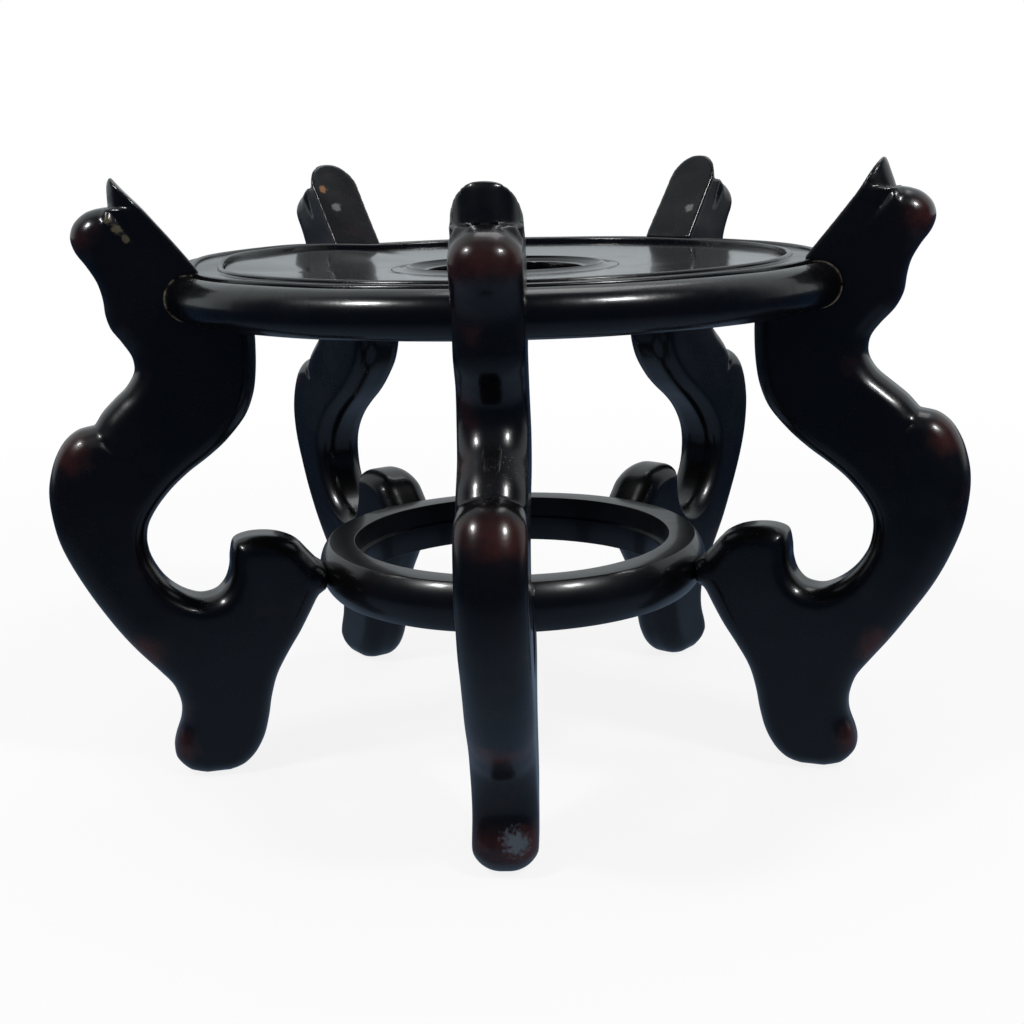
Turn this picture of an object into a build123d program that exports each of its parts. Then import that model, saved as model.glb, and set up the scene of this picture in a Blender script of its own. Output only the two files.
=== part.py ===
from build123d import *
import os

os.makedirs("parts", exist_ok=True)

# Five-legged hardwood stand for a bowl, in millimetres.
# The origin is the centre of the panel's top face, where the bowl's foot rests.
# Heights named below are measured up from the floor.

# Legs
leg_count = 5
leg_height = 200.0
leg_thickness = 20.5
edge_round = 7.0
foot_inset = 17.0
toe_inset = 2.5
heel_round = 9.0
notch_round = 1.5
seat_round = 4.0
arm_foot = 12.2
scroll_depth = 48.5
scroll_flat = 9.0
front_angle = -90.0
leg_names = ["front", "front_right", "back_right", "back_left", "front_left"]
bay_names = ["front_right", "right", "back", "left", "front_left"]

# Platform rim
rim_radius = 115.0
rim_width = 27.0
rim_height = 14.4
rim_bead = 1.1
rim_bead_inset = 10.0
rim_bead_rise = 0.9
rim_lip = 1.0
rim_lip_inset = 19.9
rim_lip_rise = 1.2

# Panel that lies in the rim's rabbet
panel_thickness = 6.8
panel_recess = 2.1

# Collar that lines the centre hole
hole_radius = 26.5
collar_flange = 12.0
collar_neck = 6.0
collar_flange_thickness = 2.4
collar_bead = 2.6
collar_rise = 0.9
collar_dish = 1.2

# Low ring between the scroll heads
ring_height = 16.5
ring_top_width = 9.0
ring_bulge = 3.5
ring_step = 1.6
ring_step_height = 9.0
ring_flat = 1.0

# Joinery hidden inside
glue_gap = 0.15
float_gap = 0.2
rim_key_width = 13.0
rim_key_thickness = 3.0
rim_key_length = 24.0
rim_key_inset = 7.0
rim_key_height = 2.0
rim_dowel_diameter = 6.0
rim_dowel_in_rim = 15.0
rim_dowel_in_leg = 9.0
rim_dowel_height = 9.0
ring_key_width = 6.0
ring_key_thickness = 2.5
ring_key_length = 18.0
ring_key_inset = 3.5
ring_key_height = 1.6
ring_dowel_diameter = 5.0
ring_dowel_in_ring = 8.0
ring_dowel_in_leg = 13.0

# Leg outline, as a carver's template for a leg 200 high whose scroll reaches 50 in behind the rim's edge.
# Each point is the distance out from the rim's edge and the height above the floor.
template_height = 200.0
template_depth = 50.0
template_rim_bottom = 155.0
template_ring_bottom = 57.0
toe_points = [(7.0, 9.5), (5.2, 16.0), (6.5, 34.5), (25.0, 58.5), (40.0, 98.0), (36.5, 113.0), (23.5, 122.7)]
neck_points = [(20.0, 128.0), (12.0, 134.5), (9.6, 142.0), (16.0, 153.5), (17.8, 160.0), (22.0, 173.5),
               (26.0, 182.5), (22.0, 189.0), (15.3, 191.3)]
tip_points = [(13.3, 196.0), (11.6, 199.3)]
arm_point = (10.0, 200.0)
scroll_points = [(-28.7, 140.0), (-16.5, 114.0), (-2.5, 103.8), (10.6, 83.0), (5.3, 70.0), (-8.0, 62.0),
                 (-15.5, 66.5), (-17.2, 77.5), (-23.0, 82.8), (-36.0, 81.6), (-44.5, 74.0)]
heel_points = [(-35.0, 40.0), (-28.0, 25.0), (-24.5, 12.5)]

# Levels and radii that follow from the sizes above
bay = 360.0 / leg_count
rise = leg_height / template_height
reach = scroll_depth / template_depth
rim_bottom = template_rim_bottom * rise
ring_bottom = template_ring_bottom * rise
rim_top = rim_bottom + rim_height
rim_inner = rim_radius - rim_width
rabbet_radius = rim_radius - rim_lip_inset - rim_lip
seat_height = rim_top - panel_recess
panel_bottom = seat_height - panel_thickness
floor = -seat_height
ring_radius = rim_radius - scroll_depth + ring_flat
ring_inner = ring_radius - ring_bulge - ring_top_width
ring_middle = ring_bottom + ring_height / 2
scroll_seat = ring_radius - ring_flat
dowel_height = rim_bottom + rim_dowel_height
leg_angles = [front_angle + bay * index for index in range(leg_count)]


def leg_point(point):
    """A template point as radius and height on the real leg."""
    out = point[0] * reach if point[0] < 0 else point[0]
    return (rim_radius + out, point[1] * rise)


def side_plane(angle):
    """Upright plane through the axis: local X points out, local Y up, from the floor."""
    outward = Vector(1, 0, 0).rotate(Axis.Z, angle)
    return Plane(origin=(0, 0, floor), x_dir=outward, z_dir=outward.cross(Vector(0, 0, 1)))


def radial_plane(angle, radius, height):
    """Plane square to the radius: local Y points up, local Z out from the axis."""
    outward = Vector(1, 0, 0).rotate(Axis.Z, angle)
    return Plane(origin=outward * radius + Vector(0, 0, floor + height), x_dir=Vector(0, 0, 1).cross(outward),
                 z_dir=outward)


def arc_chain(points, direction):
    """Arcs through the points, each tangent to the one before it."""
    for start, end in zip(points, points[1:]):
        arc = TangentArc(start, end, tangent=direction)
        direction = arc % 1


def rim_section(gap):
    """Rim profile, grown outward by the gap where a housing is cut for it."""
    nose = rim_height / 2
    nose_radius = rim_radius - nose
    lip_middle = rim_radius - rim_lip_inset
    lip_stem = rim_lip_rise - rim_lip
    with BuildSketch() as section:
        with BuildLine():
            Line((rim_inner, rim_bottom), (nose_radius, rim_bottom))
            ThreePointArc((nose_radius, rim_bottom), (rim_radius, rim_bottom + nose), (nose_radius, rim_top))
            Polyline((nose_radius, rim_top), (rabbet_radius, rim_top), (rabbet_radius, panel_bottom),
                     (rim_inner, panel_bottom), (rim_inner, rim_bottom))
        make_face()
        with Locations((rim_radius - rim_bead_inset, rim_top + rim_bead_rise - rim_bead)):
            Circle(rim_bead)
        with Locations((lip_middle, rim_top)):
            Rectangle(2 * rim_lip, 2 * lip_stem)
        with Locations((lip_middle, rim_top + lip_stem)):
            Circle(rim_lip)
        if gap > 0:
            offset(amount=gap, kind=Kind.INTERSECTION)
    return section.sketch


def ring_section():
    """Low ring profile: flat top, rounded outside and a lower tier that stands proud inside."""
    nose_radius = ring_radius - ring_bulge
    ring_top = ring_bottom + ring_height
    step_level = ring_bottom + ring_step_height
    with BuildSketch() as section:
        with BuildLine():
            ThreePointArc((nose_radius, ring_bottom), (ring_radius, ring_middle), (nose_radius, ring_top))
            Polyline((nose_radius, ring_top), (ring_inner, ring_top), (ring_inner, step_level),
                     (ring_inner - ring_step, step_level), (ring_inner - ring_step, ring_bottom),
                     (nose_radius, ring_bottom))
        make_face()
    return section.sketch


def key_block(angle, inner, width, bottom, thickness, length, gap):
    """Loose key that bridges the joint between two ring segments."""
    with BuildPart() as block:
        with BuildSketch(radial_plane(angle, inner - gap, bottom + thickness / 2)):
            Rectangle(length + 2 * gap, thickness + 2 * gap)
        extrude(amount=width + 2 * gap)
    return block.part


def dowel_pin(angle, radius, inward, outward, height, diameter, gap):
    """Round pin along the radius, through the seat between a ring and a leg."""
    with BuildPart() as pin:
        with BuildSketch(radial_plane(angle, radius - inward - gap, height)):
            Circle(diameter / 2 + gap)
        extrude(amount=inward + outward + 2 * gap)
    return pin.part


def rim_key(angle, gap):
    """Key between two rim segments."""
    return key_block(angle, rim_inner + rim_key_inset, rim_key_width, rim_bottom + rim_key_height,
                     rim_key_thickness, rim_key_length, gap)


def ring_key(angle, gap):
    """Key between two segments of the low ring."""
    return key_block(angle, ring_inner + ring_key_inset - ring_step, ring_key_width, ring_bottom + ring_key_height,
                     ring_key_thickness, ring_key_length, gap)


def rim_dowel(angle, gap):
    """Dowel that ties a leg to the rim at a segment joint."""
    return dowel_pin(angle, rim_radius, rim_dowel_in_rim, rim_dowel_in_leg, dowel_height, rim_dowel_diameter, gap)


def ring_dowel(angle, gap):
    """Dowel that ties a scroll head to the low ring."""
    return dowel_pin(angle, scroll_seat, ring_dowel_in_ring, ring_dowel_in_leg, ring_middle, ring_dowel_diameter,
                     gap)


def soften(sketch, corner, radius):
    """Round the sketch corner that lies nearest to the given point."""
    fillet(sketch.vertices().sort_by_distance(Vector(*corner))[0], radius=radius)


def make_leg(angle):
    """One scrolled leg with its arm, its rim housing and its dowel holes."""
    plane = side_plane(angle)
    foot_start = (rim_radius - foot_inset, 0)
    foot_end = (rim_radius - toe_inset, 0)
    toe = [foot_end] + [leg_point(point) for point in toe_points]
    neck = [toe[-1]] + [leg_point(point) for point in neck_points]
    tip = [neck[-1]] + [leg_point(point) for point in tip_points]
    arm_top = leg_point(arm_point)
    arm_root = (rim_radius - arm_foot, rim_top + rim_bead_rise)
    shelf = rim_bottom - glue_gap
    seat = scroll_seat + glue_gap
    seat_top = (seat, ring_middle + scroll_flat / 2)
    seat_base = (seat, ring_middle - scroll_flat / 2)
    scroll = [leg_point(point) for point in scroll_points] + [seat_top]
    heel = [seat_base] + [leg_point(point) for point in heel_points]
    housing = rim_section(glue_gap)
    dowels = [rim_dowel(angle, glue_gap), ring_dowel(angle, glue_gap)]
    with BuildPart() as leg:
        with BuildSketch(plane) as side:
            with BuildLine():
                Line(foot_start, foot_end)
                arc_chain(toe, (1, 0))
                arc_chain(neck, (-0.42, 0.9))
                arc_chain(tip, (-0.3, 1))
                Polyline(tip[-1], arm_top, arm_root, (arm_root[0], shelf), (scroll[0][0], shelf), scroll[0])
                arc_chain(scroll, (0, -1))
                Line(seat_top, seat_base)
                arc_chain(heel, (0.6, -0.8))
                Line(heel[-1], foot_start)
            make_face()
            soften(side, foot_start, heel_round)
            soften(side, heel[-1], heel_round)
            soften(side, toe[-1], notch_round)
            soften(side, seat_top, seat_round)
            soften(side, seat_base, seat_round)
        extrude(amount=leg_thickness / 2, both=True)
        notch_level = floor + tip[0][1]
        soft_edges = leg.edges().filter_by(GeomType.CIRCLE).filter_by_position(Axis.Z, floor, notch_level)
        fillet(soft_edges, radius=edge_round)
        with BuildSketch(radial_plane(angle, 0, arm_top[1] - leg_thickness / 2)):
            Rectangle(2 * leg_thickness, leg_thickness, align=(Align.CENTER, Align.MIN))
            Circle(leg_thickness / 2, mode=Mode.SUBTRACT)
        extrude(amount=2 * rim_radius, mode=Mode.SUBTRACT)
        with BuildSketch(plane):
            add(housing)
        revolve(axis=Axis.Z, mode=Mode.SUBTRACT)
        add(dowels, mode=Mode.SUBTRACT)
    return leg.part


def make_rim_segment(angle):
    """One curved length of the rim, from one leg's joint to the next."""
    section = rim_section(0)
    joinery = [maker(joint, glue_gap) for joint in (angle, angle + bay) for maker in (rim_key, rim_dowel)]
    with BuildPart() as segment:
        with BuildSketch(side_plane(angle)):
            add(section)
        revolve(axis=Axis.Z, revolution_arc=bay)
        add(joinery, mode=Mode.SUBTRACT)
    return segment.part


def make_ring_segment(angle):
    """One curved length of the low ring, with half a leg seat at each end."""
    section = ring_section()
    joinery = [maker(joint, glue_gap) for joint in (angle, angle + bay) for maker in (ring_key, ring_dowel)]
    with BuildPart() as segment:
        with BuildSketch(side_plane(angle)):
            add(section)
        revolve(axis=Axis.Z, revolution_arc=bay)
        for joint in (angle, angle + bay):
            with BuildSketch(radial_plane(joint, scroll_seat, ring_middle)):
                Rectangle(2 * leg_thickness, 2 * ring_height)
            extrude(amount=ring_radius, mode=Mode.SUBTRACT)
        add(joinery, mode=Mode.SUBTRACT)
    return segment.part


def export_piece(piece, name):
    """Label a piece and write it under its own name."""
    piece.label = name
    export_step(piece, "parts/" + name + ".step")


# Legs, rim segments and low ring segments, one of each to a bay
for index, angle in enumerate(leg_angles):
    export_piece(make_leg(angle), "leg_" + leg_names[index])
    export_piece(make_rim_segment(angle), "rim_" + bay_names[index])
    export_piece(make_ring_segment(angle), "ring_" + bay_names[index])

# Panel: a disc that lies loose in the rim's rabbet, with a rebated hole for the collar
panel_radius = rabbet_radius - float_gap
flange_radius = hole_radius + collar_flange
neck_radius = hole_radius + collar_neck
rebate_level = seat_height - collar_flange_thickness
with BuildPart() as panel:
    with BuildSketch(side_plane(front_angle)):
        with BuildLine():
            Polyline((neck_radius + glue_gap, panel_bottom), (panel_radius, panel_bottom), (panel_radius, seat_height),
                     (flange_radius + glue_gap, seat_height), (flange_radius + glue_gap, rebate_level),
                     (neck_radius + glue_gap, rebate_level), (neck_radius + glue_gap, panel_bottom))
        make_face()
    revolve(axis=Axis.Z)
export_piece(panel.part, "panel")

# Collar: a bead round its edge, a dished face and a neck that lines the hole
with BuildPart() as collar:
    with BuildSketch(side_plane(front_angle)):
        bead_inner = flange_radius - 2 * collar_bead
        with BuildLine():
            Polyline((neck_radius, panel_bottom), (neck_radius, rebate_level), (flange_radius, rebate_level),
                     (flange_radius, seat_height))
            ThreePointArc((flange_radius, seat_height), (flange_radius - collar_bead, seat_height + collar_rise),
                          (bead_inner, seat_height))
            Polyline((bead_inner, seat_height), (hole_radius, seat_height - collar_dish), (hole_radius, panel_bottom),
                     (neck_radius, panel_bottom))
        make_face()
    revolve(axis=Axis.Z)
export_piece(collar.part, "collar")

# Loose keys in the segment joints and dowels between rings and legs
for name, maker in (("rim_keys", rim_key), ("ring_keys", ring_key), ("rim_dowels", rim_dowel),
                    ("ring_dowels", ring_dowel)):
    pieces = [maker(angle, 0) for angle in leg_angles]
    with BuildPart() as joinery:
        add(pieces)
    export_piece(joinery.part, name)
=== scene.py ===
import logging
import math
from dataclasses import dataclass, field
from enum import Enum

import bpy
import numpy as np
from mathutils import Matrix, Vector


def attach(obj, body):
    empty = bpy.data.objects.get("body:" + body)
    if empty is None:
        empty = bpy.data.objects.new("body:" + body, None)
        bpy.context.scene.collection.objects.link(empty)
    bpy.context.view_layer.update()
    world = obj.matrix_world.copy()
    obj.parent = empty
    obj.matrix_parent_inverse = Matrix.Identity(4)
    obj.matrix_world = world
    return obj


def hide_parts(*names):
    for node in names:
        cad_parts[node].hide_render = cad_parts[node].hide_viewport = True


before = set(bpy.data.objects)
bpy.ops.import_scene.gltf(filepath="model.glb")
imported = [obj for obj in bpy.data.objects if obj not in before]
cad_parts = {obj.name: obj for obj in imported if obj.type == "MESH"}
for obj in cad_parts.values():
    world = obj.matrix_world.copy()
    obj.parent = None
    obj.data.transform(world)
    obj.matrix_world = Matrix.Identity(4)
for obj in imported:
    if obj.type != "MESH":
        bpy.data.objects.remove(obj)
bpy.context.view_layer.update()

logging.basicConfig(level=logging.INFO, format="%(name)s: %(message)s")
log = logging.getLogger("bowl_stand")

MM = 0.001
SEAT = 167.3
LEDGE = 160.5
FLOOR = -SEAT
PHOTO_WIDTH = 1024
SENSOR = 36.0
LEG_ANGLES = {"front": -90.0, "front_right": -18.0, "back_right": 54.0, "back_left": 126.0, "front_left": 198.0}
BAY_ANGLES = {"front_right": -90.0, "right": -18.0, "back": 54.0, "left": 126.0, "front_left": 198.0}
SOCKETS = {bool: "Bool", int: "Int", float: "Float", tuple: "Vector", type(None): "Material"}

Point = tuple[float, float]
Place = tuple[float, float, float]
Colour = tuple[float, float, float]
Socket = bpy.types.NodeSocket
Sockets = bpy.types.bpy_prop_collection


class Slot(Enum):
    """Finish slots of the part's record."""

    LEG = "leg_lacquer"
    RIM = "rim_lacquer"
    RING = "ring_lacquer"
    PANEL = "panel_lacquer"
    COLLAR = "collar_lacquer"
    BARE = "bare_wood"


class Figure(Enum):
    """Which way the wood's figure runs on a piece."""

    UPRIGHT = (1.0, 1.0, 0.12)
    ACROSS = (0.10, 1.0, 1.0)


class Wiring:
    """Adds and joins the nodes of one tree."""

    measures = ("DISTANCE", "LENGTH", "DOT_PRODUCT")

    def __init__(self, tree: bpy.types.NodeTree) -> None:
        """Keep the tree that the nodes go into."""
        self.tree = tree

    @classmethod
    def of(cls, block: bpy.types.ID) -> "Wiring":
        """Wiring of a material or a world, emptied first."""
        block.use_nodes = True
        block.node_tree.nodes.clear()
        return cls(block.node_tree)

    def add(self, kind: str, inputs: dict | None = None, **settings) -> bpy.types.Node:
        """Add a node.

        Args:
            kind: The node's type name.
            inputs: Input name or index, and the value or the socket that feeds it.
            settings: Properties set on the node itself.

        Returns:
            The new node.
        """
        node = self.tree.nodes.new(kind)
        for name, value in settings.items():
            setattr(node, name, value)
        for name, value in (inputs or {}).items():
            self.feed(node.inputs[name], value)
        return node

    def feed(self, socket: Socket, value) -> None:
        """Set a socket to a value, or link it where the value is a socket."""
        if isinstance(value, Socket):
            self.tree.links.new(value, socket)
        else:
            socket.default_value = value

    def math(self, operation: str, *values) -> Socket:
        """Result of a Math node for the given numbers or sockets."""
        return self.add("ShaderNodeMath", dict(enumerate(values)), operation=operation).outputs[0]

    def times(self, *values) -> Socket:
        """Product of the numbers or sockets."""
        product = values[0]
        for value in values[1:]:
            product = self.math("MULTIPLY", product, value)
        return product

    def vector(self, operation: str, *values) -> Socket:
        """Result of a Vector Math node, which is a number where the operation measures."""
        node = self.add("ShaderNodeVectorMath", dict(enumerate(values)), operation=operation)
        return node.outputs["Value" if operation in self.measures else "Vector"]

    def split(self, vector) -> Sockets:
        """X, Y and Z of a vector, by name."""
        return self.add("ShaderNodeSeparateXYZ", {0: vector}).outputs

    def join(self, x=0.0, y=0.0, z=0.0) -> Socket:
        """Vector of three numbers."""
        return self.add("ShaderNodeCombineXYZ", {"X": x, "Y": y, "Z": z}).outputs[0]

    def shift(self, geometry, offset) -> Socket:
        """Geometry with each point moved by its offset."""
        return self.add("GeometryNodeSetPosition", {"Geometry": geometry, "Offset": offset}).outputs[0]

    def ramp(self, value, low: float, high: float, start: float = 0.0, end: float = 1.0) -> Socket:
        """Smooth step of a value from one number to another."""
        settings = {"Value": value, "From Min": low, "From Max": high, "To Min": start, "To Max": end}
        return self.add("ShaderNodeMapRange", settings, interpolation_type="SMOOTHSTEP").outputs[0]

    def noise(self, vector, scale, detail: float = 3.0, roughness: float = 0.5) -> Socket:
        """Noise between 0 and 1 at the given points."""
        settings = {"Vector": vector, "Scale": scale, "Detail": detail, "Roughness": roughness}
        return self.add("ShaderNodeTexNoise", settings).outputs[0]

    def tint(self, factor, first, second) -> Socket:
        """Colour between two colours."""
        node = self.add("ShaderNodeMix", data_type="RGBA")
        for name, value in (("Factor_Float", factor), ("A_Color", first), ("B_Color", second)):
            socket = next(s for s in node.inputs if s.identifier == name)
            plain = not isinstance(value, Socket)
            self.feed(socket, (*value, 1.0) if plain and name != "Factor_Float" else value)
        return next(s for s in node.outputs if s.identifier == "Result_Color")


def open_inputs(tree: bpy.types.NodeTree, inputs: dict) -> dict[str, str]:
    """Give a tree its named inputs.

    Args:
        tree: The tree.
        inputs: Each input's first value by name, which also tells its kind, or None for a material.

    Returns:
        Each input's identifier by name.
    """
    keys = {}
    for name, value in inputs.items():
        socket = tree.interface.new_socket(name=name, in_out="INPUT", socket_type="NodeSocket" + SOCKETS[type(value)])
        if value is not None:
            socket.default_value = value
        keys[name] = socket.identifier
    return keys


def input_name(keyword: str) -> str:
    """Name of the input that a keyword stands for."""
    return keyword.replace("_", " ").capitalize()


def put_in_scene(name: str, data: bpy.types.ID) -> bpy.types.Object:
    """New object in the scene for a mesh, a light or a camera."""
    made = bpy.data.objects.new(name, data)
    bpy.context.scene.collection.objects.link(made)
    return made


class EffectGroup:
    """A shader node group that reads the place on a piece, built once and used in each material."""

    title = "Effect"
    inputs: dict = {}
    outputs: tuple[str, ...] = ("Mask",)

    def __init__(self) -> None:
        """Make the group's sockets and fill it."""
        self.tree = bpy.data.node_groups.new(self.title, "ShaderNodeTree")
        open_inputs(self.tree, {"Vector": (0.0, 0.0, 0.0), **self.inputs})
        for name in self.outputs:
            self.tree.interface.new_socket(name=name, in_out="OUTPUT", socket_type="NodeSocketFloat")
        wiring = Wiring(self.tree)
        results = self.fill(wiring, wiring.add("NodeGroupInput").outputs)
        wiring.add("NodeGroupOutput", results)

    def fill(self, wiring: Wiring, source) -> dict:
        """Build the effect and return its outputs by name."""
        raise NotImplementedError

    def place(self, wiring: Wiring, **values) -> Sockets:
        """Put the group into a material.

        Args:
            wiring: The material's wiring.
            values: Input names, with spaces written as underscores, and their values.

        Returns:
            The outputs of the group's node.
        """
        node = wiring.add("ShaderNodeGroup", node_tree=self.tree)
        for name, value in values.items():
            wiring.feed(node.inputs[input_name(name)], value)
        return node.outputs


class WoodFigure(EffectGroup):
    """Streaks and open pores of the timber under the lacquer."""

    title = "Wood figure"
    inputs = {"Run": (1.0, 1.0, 0.1), "Scale": 60.0}
    outputs = ("Streak", "Height")
    streaks = (0.42, 0.68)
    pore_scale = 9.0
    pore_height = 0.6

    def fill(self, wiring: Wiring, source) -> dict:
        """Broad streaks for colour and fine ones for the surface."""
        along = wiring.vector("MULTIPLY", source["Vector"], source["Run"])
        broad = wiring.noise(along, source["Scale"], detail=5.0)
        fine = wiring.noise(along, wiring.times(source["Scale"], self.pore_scale))
        height = wiring.math("ADD", wiring.times(fine, self.pore_height), broad)
        return {"Streak": wiring.ramp(broad, *self.streaks), "Height": height}


class RubbedSpots(EffectGroup):
    """Places where hands have worn the lacquer towards the red wood."""

    title = "Rubbed spots"
    inputs = {"Exposure": 0.0, "Ragged": 45.0, "Reach": 0.5}
    marking = (0.62, 1.0)

    def fill(self, wiring: Wiring, source) -> dict:
        """Exposure broken up by noise."""
        patchy = wiring.noise(source["Vector"], source["Ragged"], detail=5.0, roughness=0.65)
        total = wiring.math("ADD", wiring.times(source["Exposure"], source["Reach"]), patchy)
        return {"Mask": wiring.ramp(total, *self.marking)}


class LacquerSkin(EffectGroup):
    """Slight unevenness of a brushed lacquer film."""

    title = "Lacquer skin"
    inputs = {"Ripple": 120.0, "Pimples": 900.0}
    outputs = ("Height", "Sheen loss")
    pimple_height = 0.12
    patch_scale = 28.0
    dulled = (0.45, 0.75)

    def fill(self, wiring: Wiring, source) -> dict:
        """Soft ripples, small pimples and patches that have dulled."""
        vector = source["Vector"]
        ripple = wiring.noise(vector, source["Ripple"], detail=1.0)
        pimples = wiring.times(wiring.noise(vector, source["Pimples"], detail=2.0), self.pimple_height)
        patches = wiring.noise(vector, self.patch_scale, detail=5.0, roughness=0.7)
        return {"Height": wiring.math("ADD", ripple, pimples), "Sheen loss": wiring.ramp(patches, *self.dulled)}


class SettledDust(EffectGroup):
    """Fine specks that settle on faces turned up."""

    title = "Settled dust"
    inputs = {"Facing up": 0.0, "Specks": 1400.0}
    speck = (0.16, 0.05)
    drift_scale = 55.0
    drifts = (0.5, 0.72)
    upward = (0.2, 0.9)

    def fill(self, wiring: Wiring, source) -> dict:
        """Specks thinned by a broad noise and kept to upward faces."""
        cells = wiring.add("ShaderNodeTexVoronoi", {"Vector": source["Vector"], "Scale": source["Specks"]})
        dots = wiring.ramp(cells.outputs["Distance"], *self.speck)
        drift = wiring.noise(source["Vector"], self.drift_scale, detail=4.0, roughness=0.6)
        return {"Mask": wiring.times(dots, wiring.ramp(drift, *self.drifts),
                                     wiring.ramp(source["Facing up"], *self.upward))}


class GlueSqueeze(EffectGroup):
    """Thin pale line of old glue where the rim's rounded edge enters a leg."""

    title = "Glue squeeze"
    inputs = {"Nose centre": 0.1078, "Nose level": -0.0051, "Nose radius": 0.0072, "Width": 0.0004}
    break_scale = 260.0
    unbroken = (0.35, 0.6)

    def fill(self, wiring: Wiring, source) -> dict:
        """Distance from the rounded edge, turned into a broken line."""
        here = wiring.split(source["Vector"])
        out = wiring.math("SUBTRACT", self.hypotenuse(wiring, here["X"], here["Y"]), source["Nose centre"])
        rise = wiring.math("SUBTRACT", here["Z"], source["Nose level"])
        reach = self.hypotenuse(wiring, wiring.math("MAXIMUM", out, 0.0), rise)
        gap = wiring.math("ABSOLUTE", wiring.math("SUBTRACT", reach, source["Nose radius"]))
        near = wiring.math("SUBTRACT", 1.0, wiring.math("DIVIDE", gap, source["Width"]))
        broken = wiring.noise(source["Vector"], self.break_scale, roughness=0.7)
        return {"Mask": wiring.times(wiring.math("MAXIMUM", near, 0.0), wiring.ramp(broken, *self.unbroken))}

    @staticmethod
    def hypotenuse(wiring: Wiring, *sides) -> Socket:
        """Long side of a right-angled triangle."""
        return wiring.math("SQRT", wiring.math("ADD", *(wiring.math("POWER", side, 2.0) for side in sides)))


class WearAndReflectionMark(EffectGroup):
    """One ragged patch at a place on a piece: a chip, scuff or smudge, and on the front leg's toe a painted
    reflection.
    """

    title = "Wear and reflection mark"
    inputs = {"Centre": (0.0, 0.0, 0.0), "Size": 0.004, "Strength": 0.7}
    ragged_scale = 700.0
    raggedness = 1.6
    edge = (1.75, 1.25)

    def fill(self, wiring: Wiring, source) -> dict:
        """Distance from the place, broken up by noise."""
        share = wiring.math("DIVIDE", wiring.vector("DISTANCE", source["Vector"], source["Centre"]), source["Size"])
        ragged = wiring.noise(source["Vector"], self.ragged_scale, detail=4.0, roughness=0.65)
        shown = wiring.ramp(wiring.math("ADD", share, wiring.times(ragged, self.raggedness)), *self.edge)
        return {"Mask": wiring.times(shown, source["Strength"])}


@dataclass(frozen=True)
class Mark:
    """Where a mark sits, how big it is and what shows there; most are wear, one is a painted reflection."""

    centre: Place
    size: float
    colour: Colour
    strength: float


@dataclass(frozen=True)
class Lacquer:
    """Dark brushed lacquer over red-brown hardwood."""

    name: str
    slot: Slot
    body: Colour = (0.0009, 0.0009, 0.0012)
    warm: Colour = (0.0045, 0.0012, 0.0011)
    rubbed: Colour = (0.030, 0.0060, 0.0040)
    figure: Figure = Figure.UPRIGHT
    figure_scale: float = 60.0
    roughness: float = 0.26
    dulled: float = 0.12
    coat: float = 0.35
    coat_roughness: float = 0.09
    ripple: float = 0.25
    rub_reach: float = 0.35
    glue: Colour = (0.30, 0.26, 0.20)
    dust: Colour = (0.42, 0.41, 0.38)
    marks: tuple[Mark, ...] = ()
    index: float = 1.5
    figure_height: float = 0.12
    dust_dulling: float = 0.3
    relief: float = 0.0004
    warming: tuple[float, ...] = (0.0, 0.8, 0.25, 1.0)

    def build(self, effects: dict[type, EffectGroup]) -> bpy.types.Material:
        """Make the material.

        Args:
            effects: The shared effect groups by class.

        Returns:
            The finished material.
        """
        material = bpy.data.materials.new(self.name)
        wiring = Wiring.of(material)
        here = wiring.add("ShaderNodeTexCoord").outputs["Object"]
        upward = wiring.split(wiring.add("ShaderNodeNewGeometry").outputs["Normal"])["Z"]
        exposed = wiring.add("ShaderNodeAttribute", attribute_name="rub").outputs["Fac"]
        figure = effects[WoodFigure].place(wiring, vector=here, run=self.figure.value, scale=self.figure_scale)
        rubbed = effects[RubbedSpots].place(wiring, vector=here, exposure=exposed, reach=self.rub_reach)
        skin = effects[LacquerSkin].place(wiring, vector=here)
        dust = effects[SettledDust].place(wiring, vector=here, facing_up=upward)
        warmth = wiring.times(figure["Streak"], wiring.ramp(exposed, *self.warming))
        colour = wiring.tint(warmth, self.body, self.warm)
        colour = wiring.tint(rubbed["Mask"], colour, self.rubbed)
        colour = wiring.tint(dust["Mask"], colour, self.dust)
        if self.slot is Slot.LEG:
            glue = effects[GlueSqueeze].place(wiring, vector=here)
            colour = wiring.tint(glue["Mask"], colour, self.glue)
        # Marks of wear, and one painted reflection: the bluish patch on the front leg's toe.
        for mark in self.marks:
            marking = effects[WearAndReflectionMark].place(wiring, vector=here, centre=mark.centre, size=mark.size,
                                           strength=mark.strength)
            colour = wiring.tint(marking["Mask"], colour, mark.colour)
        roughness = wiring.math("MULTIPLY_ADD", skin["Sheen loss"], self.dulled, self.roughness)
        roughness = wiring.math("MULTIPLY_ADD", dust["Mask"], self.dust_dulling, roughness)
        height = wiring.math("MULTIPLY_ADD", figure["Height"], self.figure_height, skin["Height"])
        bump = wiring.add("ShaderNodeBump", {"Height": height, "Strength": self.ripple, "Distance": self.relief})
        shader = wiring.add("ShaderNodeBsdfPrincipled", {
            "Base Color": colour, "Roughness": roughness, "IOR": self.index, "Coat Weight": self.coat,
            "Coat Roughness": self.coat_roughness, "Normal": bump.outputs[0]})
        wiring.add("ShaderNodeOutputMaterial", {"Surface": shader.outputs[0]})
        return material


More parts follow.
